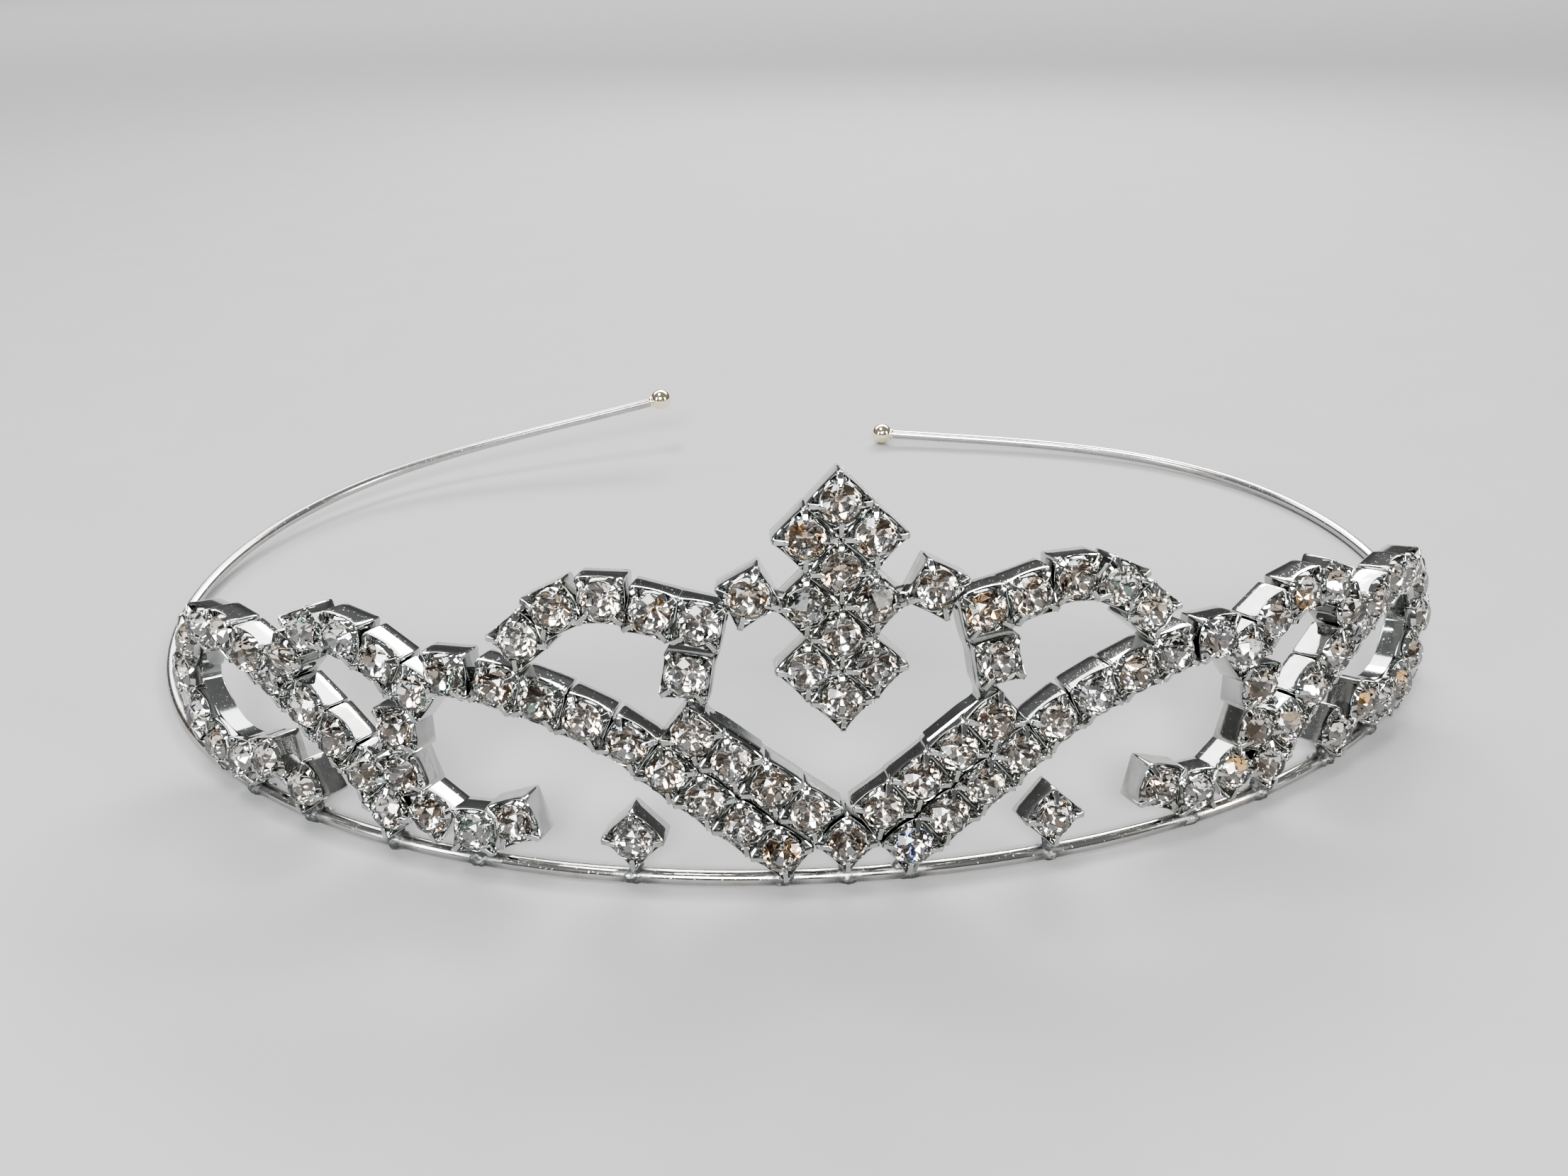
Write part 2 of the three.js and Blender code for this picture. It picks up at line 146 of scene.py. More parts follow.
class Shop:
    """Adds nodes to one tree: a node's settings come first, then its sockets."""

    def __init__(self, tree):
        self.tree = tree

    def node(self, kind, settings=None, sockets=None):
        made = self.tree.nodes.new(kind)
        for key, value in (settings or {}).items():
            if key == "stops":
                self.set_stops(made.color_ramp, value)
            elif key == "ramp":
                made.color_ramp.interpolation = value
            else:
                setattr(made, key, value)
        for key, value in (sockets or {}).items():
            self.feed(made.inputs[key], value)
        return made

    def feed(self, socket, value):
        if isinstance(value, Number):
            value = value.socket
        if isinstance(value, bpy.types.NodeSocket):
            self.tree.links.new(value, socket)
        else:
            socket.default_value = value

    def set_stops(self, ramp, stops):
        while len(ramp.elements) > 1:
            ramp.elements.remove(ramp.elements[-1])
        ramp.elements[0].position = stops[0][0]
        ramp.elements[0].color = (*stops[0][1], 1)
        for place, colour in stops[1:]:
            ramp.elements.new(place).color = (*colour, 1)

    def math(self, operation, *values):
        sockets = dict(enumerate(values))
        return self.node("ShaderNodeMath", {"operation": operation}, sockets).outputs[0]

    def noise(self, place, scale, detail=2.0, roughness=0.5):
        sockets = {"Vector": place, "Scale": scale, "Detail": detail, "Roughness": roughness}
        return Number(self, self.node("ShaderNodeTexNoise", {}, sockets).outputs[0])

    def stretched(self, place, scale, turn):
        sockets = {"Vector": place, "Scale": scale, "Rotation": turn}
        return self.node("ShaderNodeMapping", {}, sockets).outputs[0]

    def mix(self, factor, one, other):
        sockets = {0: factor, 6: self.colour(one), 7: self.colour(other)}
        return self.node("ShaderNodeMix", {"data_type": "RGBA"}, sockets).outputs[2]

    def colour(self, value):
        return (*value, 1) if isinstance(value, tuple) and len(value) == 3 else value

    def attribute(self, name):
        made = self.node("ShaderNodeAttribute", {"attribute_name": name})
        return Number(self, made.outputs["Fac"])


class Finish(Shop):
    """A material: its object coordinates, its shader and its output."""

    def __init__(self, name):
        self.material = bpy.data.materials.new(name)
        self.material.use_nodes = True
        super().__init__(self.material.node_tree)
        self.tree.nodes.clear()
        self.place = self.node("ShaderNodeTexCoord").outputs["Object"]

    def shade(self, sockets, height, depth, strength):
        """Closes the material, with a bump of the given depth in metres."""
        bump = {"Height": height, "Distance": depth, "Strength": strength}
        sockets["Normal"] = self.node("ShaderNodeBump", {}, bump).outputs[0]
        shader = self.node("ShaderNodeBsdfPrincipled", {}, sockets)
        self.node("ShaderNodeOutputMaterial", {}, {"Surface": shader.outputs[0]})
        return self.material


# ------------------------------------------------------------ finishes


def polished_plate(name, bright, dull, shine, haze):
    """Bright plate with polishing lines, pinholes and a thin breath of tarnish."""
    f = Finish(name)
    batch = f.attribute("batch")
    cloud = f.noise(f.place, 380, 3)
    film = f.noise(f.place, 1300, 4, 0.6)
    lines = f.noise(f.stretched(f.place, (9000, 600, 1400), (0.4, 0.9, 0.2)), 1, 2)
    cross = f.noise(f.stretched(f.place, (700, 7600, 900), (0.9, 0.2, 0.7)), 1, 2)
    pinholes = f.noise(f.place, 5200, 1).above(0.70, 0.76)
    scratch = lines.above(0.60, 0.72) * 0.6 + cross.above(0.63, 0.74) * 0.4
    tarnish = (cloud * 0.6 + film * 0.4 + batch * 0.16).above(0.50, 0.86)
    height = scratch * -0.5 + pinholes * -1.0 + film * 0.35
    sockets = {
        "Base Color": f.mix(tarnish, bright, dull),
        "Metallic": 1.0,
        "Roughness": shine + cloud * haze + scratch * 0.10 + pinholes * 0.2 + batch * 0.03,
    }
    return f.shade(sockets, height, 6e-6, 0.55)


def wire_plate():
    """Plated wire: drawn lengthwise, pitted, dark brown in patches, dull and lumpy where it was soldered,
    with painted shade darkening it beside each joint under the cups.
    """
    f = Finish("wire_plate")
    solder = f.attribute("solder")
    along = f.attribute("along")
    cloud = f.noise(f.place, 260, 3)
    film = f.noise(f.place, 1500, 4, 0.6)
    pits = f.noise(f.place, 3600, 2).above(0.66, 0.74)
    drawn = f.noise(f.stretched(f.place, (500, 500, 6000), (0, 0, 0)), 1, 2)
    lumps = f.noise(f.place, 1100, 3, 0.7)
    brown = (cloud + film * 0.3).above(0.72, 0.92)
    plate = f.mix(brown, (0.50, 0.495, 0.48), (0.36, 0.29, 0.22))
    worn = f.mix(along * 0.35, plate, (0.55, 0.56, 0.57))
    grey = f.mix(film.above(0.3, 0.7), (0.12, 0.125, 0.12), (0.34, 0.34, 0.33))
    # Beside each joint: dull solder smear, and its dark grey is also painted shade under the cups that
    # overhang the wire.
    solder_smear_and_shade = (solder + (film - 0.5) * 0.8 * solder).above(0.25, 0.7)
    sockets = {
        "Base Color": f.mix(solder_smear_and_shade, worn, grey),
        "Metallic": 1.0,
        "Roughness": 0.07 + cloud * 0.1 + pits * 0.22 + solder_smear_and_shade * 0.2 + along * 0.12,
    }
    height = pits * -0.9 + drawn * 0.25 + lumps * solder_smear_and_shade * 3.0
    return f.shade(sockets, height, 1.6e-5, 0.6)


def solder_grey():
    """Cold solder: grey, grained, bright only on its ridges."""
    f = Finish("solder_grey")
    grain = f.noise(f.place, 2600, 4, 0.65)
    folds = f.noise(f.stretched(f.place, (900, 1700, 1200), (0.3, 0.5, 0.1)), 1, 4, 0.7)
    ridge = folds.above(0.5, 0.68)
    sockets = {
        "Base Color": f.mix(ridge, (0.10, 0.105, 0.105), (0.48, 0.48, 0.47)),
        "Metallic": 0.85,
        "Roughness": 0.42 - ridge * 0.24 + grain * 0.12,
    }
    return f.shade(sockets, folds * 1.0 + grain * 0.5, 6e-5, 0.8)


def crystal():
    """Clear lead glass, a little warmer or cooler from stone to stone, with faint rubbing."""
    f = Finish("crystal")
    batch = f.attribute("batch")
    rubbed = f.noise(f.place, 900, 3)
    hairs = f.noise(f.stretched(f.place, (5200, 500, 900), (0.2, 0.6, 1.1)), 1, 2).above(0.66, 0.72)
    sockets = {
        "Base Color": f.mix(batch, (0.97, 0.985, 1.0), (1.0, 0.965, 0.92)),
        "Roughness": rubbed.above(0.55, 0.9) * 0.03 + hairs * 0.03,
        "IOR": 1.58,
        "Transmission Weight": 1.0,
    }
    return f.shade(sockets, hairs * -1.0 + rubbed * 0.2, 1e-6, 0.3)


def foil():
    """Silvered backing with painted reflections: each facet gets one painted tone from white flashes,
    champagne and dark browns, and now and then a painted spark of fire colour.
    """
    f = Finish("foil")
    # A random draw per facet and per stone picks that facet's painted reflection tone.
    painted_flash_draw = (f.attribute("facet") + f.attribute("batch") * 5.37).part()
    # Painted reflections: white flashes, champagne and dark brown tones, and rare painted sparks of blue,
    # orange and green fire.
    stops = [
        (0.000, (0.98, 0.98, 0.97)),
        (0.260, (0.76, 0.67, 0.58)),
        (0.400, (0.95, 0.94, 0.93)),
        (0.560, (0.54, 0.45, 0.36)),
        (0.650, (0.90, 0.86, 0.79)),
        (0.780, (0.44, 0.36, 0.29)),
        (0.850, (0.96, 0.95, 0.97)),
        (0.925, (0.28, 0.23, 0.19)),
        (0.955, (0.34, 0.50, 0.98)),
        (0.964, (1.00, 0.66, 0.30)),
        (0.978, (0.70, 0.92, 0.86)),
        (0.985, (0.97, 0.96, 0.94)),
    ]
    tone = f.node("ShaderNodeValToRGB", {"ramp": "CONSTANT", "stops": stops}, {"Fac": painted_flash_draw})
    specks = f.noise(f.place, 4200, 2).above(0.68, 0.74)
    haze = f.noise(f.place, 1400, 2)
    sockets = {
        "Base Color": f.mix(specks * 0.5, tone.outputs[0], (0.30, 0.27, 0.24)),
        "Metallic": 1.0,
        "Roughness": 0.02 + haze * 0.05 + specks * 0.1,
    }
    return f.shade(sockets, haze, 2e-6, 0.3)


def studio_paper():
    """Matt pale paper for the floor."""
    f = Finish("studio_paper")
    pulp = f.noise(f.place, 60, 4)
    fibres = f.noise(f.place, 900, 3)
    sockets = {
        "Base Color": f.mix(pulp, (0.26, 0.26, 0.262), (0.278, 0.278, 0.278)),
        "Roughness": 0.7 + fibres * 0.15,
        "Specular IOR Level": 0.1,
    }
    return f.shade(sockets, fibres, 3e-5, 0.25)


SILVER = polished_plate("cup_plate", (0.50, 0.515, 0.505), (0.34, 0.33, 0.31), 0.02, 0.06)
STRAP = polished_plate("strap_plate", (0.44, 0.455, 0.45), (0.30, 0.29, 0.28), 0.04, 0.10)
TIP = polished_plate("tip_plate", (1.0, 0.91, 0.68), (0.90, 0.76, 0.50), 0.05, 0.08)
WIRE = wire_plate()
SOLDER = solder_grey()
CRYSTAL = crystal()
FOIL_AND_PAINTED_FLASHES = foil()


# ------------------------------------------------------------ headband line


def bend_at(along):
    """How sharply the wire bends at a length from the front: gently there, tightest at the sides."""
    front = 1 / FRONT_RADIUS
    side = 1 / SIDE_RADIUS
    if along >= ARM_LENGTH:
        return 0.0
    if along < SIDE_AT:
        return front + (side - front) * math.sin(math.pi / 2 * along / SIDE_AT) ** 2
    return side * math.cos(math.pi / 2 * (along - SIDE_AT) / (ARM_LENGTH - SIDE_AT)) ** 2


def band_line():
    """Points (x, y, heading) every BAND_STEP along the right half of the wire."""
    line = [(0.0, 0.0, 0.0)]
    while len(line) * BAND_STEP <= ARM_LENGTH + 5 * MM:
        x, y, heading = line[-1]
        turned = heading + bend_at((len(line) - 0.5) * BAND_STEP) * BAND_STEP
        mean = (heading + turned) / 2
        line.append((x + BAND_STEP * math.cos(mean), y + BAND_STEP * math.sin(mean), turned))
    return line


BAND = band_line()


def band(along):
    """The band line at any length: x, y and heading."""
    k = min(along / BAND_STEP, len(BAND) - 2)
    i = int(k)
    return [a + (b - a) * (k - i) for a, b in zip(BAND[i], BAND[i + 1])]


def wire_point(along, side):
    """The middle of the wire; the tips rise, and the left arm springs up further."""
    x, y, _ = band(along)
    past = max(0.0, along - LEVEL_LENGTH) / (ARM_LENGTH - LEVEL_LENGTH)
    tip = BALL_DIAMETER / 2 - WIRE_LEVEL + (LEFT_SPRING if side == LEFT else 0)
    return Vector((side * x, y, WIRE_LEVEL + tip * past**2))


# ------------------------------------------------------------ places on the wall


def basis(origin, tangent, normal, turn):
    """A cup's place: its x runs along the row, its z faces out of the wall."""
    up = normal.cross(tangent)
    columns = Matrix((tangent, up, normal)).transposed().to_4x4()
    return Matrix.Translation(origin) @ columns @ Matrix.Rotation(math.radians(turn), 4, "Z")


def wall_spot(along, up):
    """From pitches along and up from the top of the wire to metres."""
    return along * PITCH, WIRE_DIAMETER + up * PITCH


def wall_place(along, height, turn):
    """A cup's place on the leaning wall, turned by some degrees from level."""
    x, y, heading = band(along)
    outward = Vector((math.sin(heading), -math.cos(heading), 0))
    tangent = Vector((math.cos(heading), math.sin(heading), 0))
    normal = outward * math.cos(LEAN) + Vector((0, 0, math.sin(LEAN)))
    origin = Vector((x, y, height)) + outward * (WALL_OFFSET - height * math.tan(LEAN))
    return basis(origin, tangent, normal, turn)


def row(spot, headings):
    """A row of cups a pitch apart that leaves its first place on the given headings."""
    along, height = spot
    stops = [spot]
    for i, heading in enumerate(headings):
        after = headings[min(i + 1, len(headings) - 1)]
        before = headings[max(i - 1, 0)]
        step = PITCH * (1 + TURN_SPREAD * abs(math.radians((after - before) / 2)))
        reach = WALL_OFFSET - height * math.tan(LEAN)
        along += step * math.cos(math.radians(heading)) / (1 + bend_at(along) * reach)
        height += step * math.sin(math.radians(heading)) * math.cos(LEAN)
        stops.append((along, height))
    turns = [headings[0], *headings, headings[-1]]
    return [wall_place(*stop, (turns[i] + turns[i + 1]) / 2) for i, stop in enumerate(stops)]


def ornament_places():
    """Ten cups on a lattice that stands on its corner."""
    _, top = wall_spot(0, ORNAMENT_RISE)
    y = top * math.tan(LEAN) - WALL_OFFSET + ORNAMENT_SET_BACK
    normal = Vector((0, -math.cos(ORNAMENT_LEAN), math.sin(ORNAMENT_LEAN)))
    corner = basis(Vector((0, y, top)), Vector((1, 0, 0)), normal, 225)
    cells = []
    for i in range(ORNAMENT_STEPS + 1):
        for j in range(max(0, i - 1), min(ORNAMENT_STEPS, i + 1) + 1):
            cells.append(corner @ Matrix.Translation((i * PITCH, j * PITCH, 0)))
    return cells


def sided(place, side):
    """The same place on the other side: a turn, not a mirror image of the cup."""
    if side == RIGHT:
        return place
    flip = Matrix.Diagonal((-1, 1, 1, 1))
    return flip @ place @ flip


ORNAMENT = ornament_places()
CENTRE = [wall_place(*wall_spot(0, 0.88), 45)]
ROWS = {
    "heart_row": row(wall_spot(0.76, 1.59), [36, 36, 36]),
    "heart_side": [wall_place(*wall_spot(3.27, 4.59), 98)],
    "heart_lobe": [wall_place(*wall_spot(1.95, 6.22), 152)],
    "connector": [wall_place(*wall_spot(8.59, 4.22), -4)],
    "inner_spacer": [wall_place(*wall_spot(4.49, 0.95), 45)],
    "outer_spacer": [wall_place(*wall_spot(12.51, 0.8), 48)],
    "wing_row": row(wall_spot(1.37, 0.73), [37, 37, 37, 37, 27, 20, 14]),
    "wing_arch": row(wall_spot(6.83, 5.17), [137, 165, 193, 193]),
    "diagonal": row(wall_spot(10.1, 0.85), [50, 38, 32, 27, 19, 9, -8]),
    "side_loop": row(wall_spot(17.0, 2.95), [-74, -134, -156, -178, -202]),
    "foot_curl": row(wall_spot(9.83, 2.8), [264, 231, 192, 160]),
    "peak_arch": row(wall_spot(9.41, 3.71), [33, 20, -5, -50]),
}
LOOSE_ROWS = ("heart_row", "heart_side", "heart_lobe", "connector", "inner_spacer", "outer_spacer")
CORNER_FOOT = 0.55 * CUP_SIDE
EDGE_FOOT = 0.34 * CUP_SIDE
POSTS = {
    "inner_spacer": (0, CORNER_FOOT),
    "outer_spacer": (0, CORNER_FOOT),
    "wing_row": (0, EDGE_FOOT),
    "diagonal": (0, EDGE_FOOT),
    "side_loop": (4, EDGE_FOOT),
    "foot_curl": (3, EDGE_FOOT),
}


# ------------------------------------------------------------ patterns: one cup, one stone

SCALLOP = 0.52 * MM  # how far the edge dips between two claws
SIDE_STEPS = 8
CORNER_STEPS = 3


def outline():
    """Points (side, along -1..1, corner turn 0..1) round a square with round corners."""
    points = []
    for side in range(4):
        points += [(side, 2 * k / SIDE_STEPS - 1, 0) for k in range(SIDE_STEPS + 1)]
        points += [(side, 1, (k + 1) / (CORNER_STEPS + 1)) for k in range(CORNER_STEPS)]
    return points


def cup_rings():
    """From the back round to the seat: height, half side, corner radius, roundness,
    how much of the scallop it follows, and how far it sinks towards the corners."""
    half = CUP_SIDE / 2
    back = -CUP_DEPTH
    rim = 0.02 * MM
    return [
        (back + 0.22 * MM, 0.62 * MM, 0.1 * MM, 1, 0, 0),
        (back + 0.04 * MM, 0.86 * MM, 0.1 * MM, 1, 0, 0),
        (back, 1.1 * MM, 0.1 * MM, 0.8, 0, 0),
        (back, half - 0.24 * MM, 0.3 * MM, 0, 0, 0),
        (back + 0.05 * MM, half - 0.07 * MM, 0.24 * MM, 0, 0, 0),
        (back + 0.17 * MM, half - 0.01 * MM, 0.2 * MM, 0, 0, 0),
        (-1.9 * MM, half, 0.17 * MM, 0, 0, 0),
        (-0.95 * MM, half, 0.17 * MM, 0, 0, 0),
        (rim - 0.10 * MM, half - 0.01 * MM, 0.17 * MM, 0, 1, 0),
        (rim - 0.02 * MM, half - 0.03 * MM, 0.17 * MM, 0, 1, 0),
        (rim - 0.01 * MM, half - 0.08 * MM, 0.15 * MM, 0, 1, 0),
        (-0.38 * MM, half - 0.12 * MM, 0.3 * MM, 0.1, 0.35, 0.2 * MM),
        (-0.17 * MM, half - 0.16 * MM, 0.4 * MM, 0.75, 0, 0.35 * MM),
        (-0.02 * MM, STONE_RADIUS, 0.1 * MM, 1, 0, 0.12 * MM),
        (-0.12 * MM, STONE_RADIUS - 0.15 * MM, 0.1 * MM, 1, 0, 0),
        (-1.2 * MM, 0.9 * MM, 0.1 * MM, 1, 0, 0),
    ]


def ring_points(height, half, corner, roundness, dip, sink):
    """One ring of the cup; the dip lowers it most midway between two claws."""
    points = []
    straight = half - corner
    for side, along, bend in outline():
        turn = bend * math.pi / 2
        flat = Vector((half, along * straight, 0))
        if bend:
            flat = Vector((straight + corner * math.cos(turn), straight + corner * math.sin(turn), 0))
        flat = Matrix.Rotation(side * math.pi / 2, 3, "Z") @ flat
        round_one = flat.normalized() * half
        point = flat.lerp(round_one, roundness)
        scoop = 0.0 if bend else max(0.0, math.cos(math.pi / 2 * along)) ** 0.75
        point.z = height - dip * SCALLOP * scoop - sink * (1 - scoop)
        points.append(point)
    return points


def skin(shape, rings, last_point):
    """Joins rings of points into one closed skin, with a fan over each end."""
    loops = [[shape.verts.new(p) for p in ring] for ring in rings]
    for near, far in zip(loops, loops[1:]):
        for k in range(len(near)):
            n = (k + 1) % len(near)
            shape.faces.new((near[k], near[n], far[n], far[k]))
    shape.faces.new(reversed(loops[0]))
    if last_point is None:
        shape.faces.new(loops[-1])
        return
    tip = shape.verts.new(last_point)
    for k in range(len(loops[-1])):
        n = (k + 1) % len(loops[-1])
        shape.faces.new((loops[-1][k], loops[-1][n], tip))


def claw_stations():
    """(out from the middle, height, half width, thickness) up a corner and over the stone."""
    corner = CUP_SIDE / math.sqrt(2)
    return [
        (corner - 0.26 * MM, -0.90 * MM, 0.26 * MM, 0.16 * MM),
        (corner - 0.22 * MM, -0.25 * MM, 0.27 * MM, 0.17 * MM),
        (corner - 0.27 * MM, 0.05 * MM, 0.27 * MM, 0.18 * MM),
        (corner - 0.44 * MM, 0.22 * MM, 0.24 * MM, 0.18 * MM),
        (corner - 0.88 * MM, 0.36 * MM, 0.22 * MM, 0.16 * MM),
        (corner - 1.28 * MM, 0.52 * MM, 0.21 * MM, 0.13 * MM),
        (corner - 1.43 * MM, 0.58 * MM, 0.18 * MM, 0.11 * MM),
        (corner - 1.51 * MM, 0.60 * MM, 0.10 * MM, 0.07 * MM),
    ]


def claw_section(station, along, turn):
    """Six points round a claw: flat inside and outside, with eased edges outside."""
    out, height, half, thick = station
    across = Vector((0, 1, 0))
    face = Vector((-along.z, 0, along.x))
    middle = Vector((out, 0, height))
    edges = [(-1, 0.1), (-0.78, 0.5), (0.78, 0.5), (1, 0.1), (0.9, -0.5), (-0.9, -0.5)]
    spin = Matrix.Rotation(turn, 4, "Z")
    return [spin @ (middle + across * (half * w) - face * (thick * t)) for w, t in edges]


def add_claw(shape, turn):
    stations = claw_stations()
    rings = []
    for i, station in enumerate(stations):
        a = stations[max(0, i - 1)]
        b = stations[min(len(stations) - 1, i + 1)]
        along = Vector((b[0] - a[0], 0, b[1] - a[1])).normalized()
        rings.append(claw_section(station, along, turn))
    skin(shape, rings, None)


def finish_pattern(name, shape, smooth):
    bmesh.ops.recalc_face_normals(shape, faces=shape.faces)
    for face in shape.faces:
        face.smooth = smooth
    mesh = bpy.data.meshes.new(name)
    shape.to_mesh(mesh)
    shape.free()
    return bpy.data.objects.new(name, mesh)


def cup_pattern():
    """A stamped square cup with a rolled, scalloped edge and a claw at each corner."""
    shape = bmesh.new()
    rings = [ring_points(*ring) for ring in cup_rings()]
    skin(shape, rings, Vector((0, 0, -2.0 * MM)))
    for quarter in range(4):
        add_claw(shape, (quarter + 0.5) * math.pi / 2)
    return finish_pattern("cup_pattern", shape, True)


def ring_of(count, radius, height, shift=0.0):
    turns = [2 * math.pi * (k + shift) / count for k in range(count)]
    return [Vector((radius * math.cos(t), radius * math.sin(t), height)) for t in turns]


def stone_pattern():
    """A round brilliant: table, stars, kites and girdle facets over a cone of foiled facets."""
    crown_slope = CROWN_HEIGHT / (STONE_RADIUS - TABLE_RADIUS)
    waist = 1.46 / 1.81 * STONE_RADIUS
    waist_height = CROWN_HEIGHT - (waist * math.cos(math.pi / 8) - TABLE_RADIUS) * crown_slope
    keel = 0.5 * STONE_RADIUS
    culet = -GIRDLE_DEPTH - PAVILION_DEPTH
    keel_height = culet + keel * math.cos(math.pi / 8) * PAVILION_DEPTH / STONE_RADIUS
    shape = bmesh.new()
    rings = [
        ring_of(8, TABLE_RADIUS, CROWN_HEIGHT),
        ring_of(8, waist, waist_height, 0.5),
        ring_of(16, STONE_RADIUS, 0.0),
        ring_of(16, STONE_RADIUS, -GIRDLE_DEPTH),
        ring_of(8, keel, keel_height, 0.5),
    ]
    table, waists, top, bottom, keels = [[shape.verts.new(p) for p in ring] for ring in rings]
    point = shape.verts.new((0, 0, culet))
    backing = shape.faces.layers.float.new("backing")
    facet = shape.faces.layers.float.new("facet")
    faces = [(table, 0)]
    for k in range(8):
        n = (k + 1) % 8
        faces.append(((table[k], waists[k], table[n]), 0))
        faces.append(((table[k], waists[k - 1], top[2 * k], waists[k]), 0))
        faces.append(((waists[k], top[2 * k], top[2 * k + 1]), 0))
        faces.append(((waists[k], top[2 * k + 1], top[2 * n]), 0))
        faces.append(((bottom[2 * k], keels[k], bottom[2 * k + 1]), 1))
        faces.append(((bottom[2 * k + 1], keels[k], bottom[2 * n]), 1))
        faces.append(((bottom[2 * k], keels[k - 1], point, keels[k]), 1))
    for k in range(16):
        n = (k + 1) % 16
        faces.append(((top[k], bottom[k], bottom[n], top[n]), 1))
    # Each facet's random number picks its painted reflection tone in the foil.
    draw = random.Random(7)
    for corners, foiled in faces:
        face = shape.faces.new(corners)
        face[backing] = foiled
        face[facet] = draw.random()
    return finish_pattern("stone_pattern", shape, False)


# ------------------------------------------------------------ geometry trees


def new_tree(name, inputs):
    """An empty geometry tree with named inputs, and its shop and group input."""
    tree = bpy.data.node_groups.new(name, "GeometryNodeTree")
    tree.interface.new_socket("Geometry", in_out="INPUT", socket_type="NodeSocketGeometry")
    for label, kind in inputs.items():
        tree.interface.new_socket(label, in_out="INPUT", socket_type="NodeSocket" + kind)
    tree.interface.new_socket("Geometry", in_out="OUTPUT", socket_type="NodeSocketGeometry")
    shop = Shop(tree)
    return shop, shop.node("NodeGroupInput").outputs


def close_tree(shop, geometry, material):
    """Every tree ends the same way: real geometry with its finish on it."""
    real = shop.node("GeometryNodeRealizeInstances", {}, {"Geometry": geometry})
    sockets = {"Geometry": real.outputs[0], "Material": material}
    coated = shop.node("GeometryNodeSetMaterial", {}, sockets)
    return coated.outputs[0]


def end_tree(shop, geometry):
    shop.node("NodeGroupOutput", {}, {"Geometry": geometry})
    return shop.tree


def random_between(shop, low, high, seed, kind="FLOAT"):
    settings = {"data_type": kind}
    made = shop.node("FunctionNodeRandomValue", settings)
    offset = {"FLOAT_VECTOR": 0, "FLOAT": 2}[kind]
    shop.feed(made.inputs[offset], low)
    shop.feed(made.inputs[offset + 1], high)
    shop.feed(made.inputs["Seed"], seed)
    return made.outputs[{"FLOAT_VECTOR": 0, "FLOAT": 1}[kind]]


def setting_tree():
    """Stands a pattern on every place, each a little out of true as hand soldering leaves it."""
    inputs = {
        "Pattern": "Object",
        "Spin": "Float",
        "Tilt": "Float",
        "Seed": "Int",
        "Material": "Material",
        "Backing": "Material",
    }
    shop, given = new_tree("setting_on_places", inputs)
    pattern = shop.node("GeometryNodeObjectInfo", {}, {"Object": given["Pattern"]})
    facing = shop.node("GeometryNodeInputNamedAttribute", {"data_type": "FLOAT_VECTOR"}, {"Name": "facing"})
    sockets = {
        "Points": given["Geometry"],
        "Instance": pattern.outputs["Geometry"],
        "Rotation": facing.outputs["Attribute"],
    }
    placed = shop.node("GeometryNodeInstanceOnPoints", {}, sockets)
    tilt = Number(shop, given["Tilt"])
    spin = Number(shop, given["Spin"])
    most = shop.node("ShaderNodeCombineXYZ", {}, {"X": tilt, "Y": tilt, "Z": spin})
    least = shop.node("ShaderNodeCombineXYZ", {}, {"X": 0 - tilt, "Y": 0 - tilt, "Z": 0 - spin})
    turn = random_between(shop, least.outputs[0], most.outputs[0], given["Seed"], "FLOAT_VECTOR")
    turned = shop.node(
        "GeometryNodeRotateInstances",
        {},
        {"Instances": placed.outputs[0], "Rotation": turn},
    )
    batch = random_between(shop, 0.0, 1.0, given["Seed"])
    marked = shop.node(
        "GeometryNodeStoreNamedAttribute",
        {"data_type": "FLOAT", "domain": "INSTANCE"},
        {"Geometry": turned.outputs[0], "Name": "batch", "Value": batch},
    )
    coated = close_tree(shop, marked.outputs[0], given["Material"])
    backing = shop.node("GeometryNodeInputNamedAttribute", {"data_type": "FLOAT"}, {"Name": "backing"})
    foiled = shop.node(
        "FunctionNodeCompare",
        {"data_type": "FLOAT", "operation": "GREATER_THAN"},
        {0: backing.outputs["Attribute"], 1: 0.5},
    )
    sockets = {"Geometry": coated, "Selection": foiled.outputs[0], "Material": given["Backing"]}
    backed = shop.node("GeometryNodeSetMaterial", {}, sockets)
    return end_tree(shop, backed.outputs[0])


def wire_tree():
    """Sweeps a round section along a line and closes its ends."""
    inputs = {"Radius": "Float", "Sides": "Int", "Material": "Material"}
    shop, given = new_tree("round_wire", inputs)
    line = shop.node("GeometryNodeMeshToCurve", {}, {"Mesh": given["Geometry"]})
    sockets = {"Resolution": given["Sides"], "Radius": given["Radius"]}
    section = shop.node("GeometryNodeCurvePrimitiveCircle", {}, sockets)
    sockets = {"Curve": line.outputs[0], "Profile Curve": section.outputs[0], "Fill Caps": True}
    swept = shop.node("GeometryNodeCurveToMesh", {}, sockets)
    return end_tree(shop, close_tree(shop, swept.outputs[0], given["Material"]))


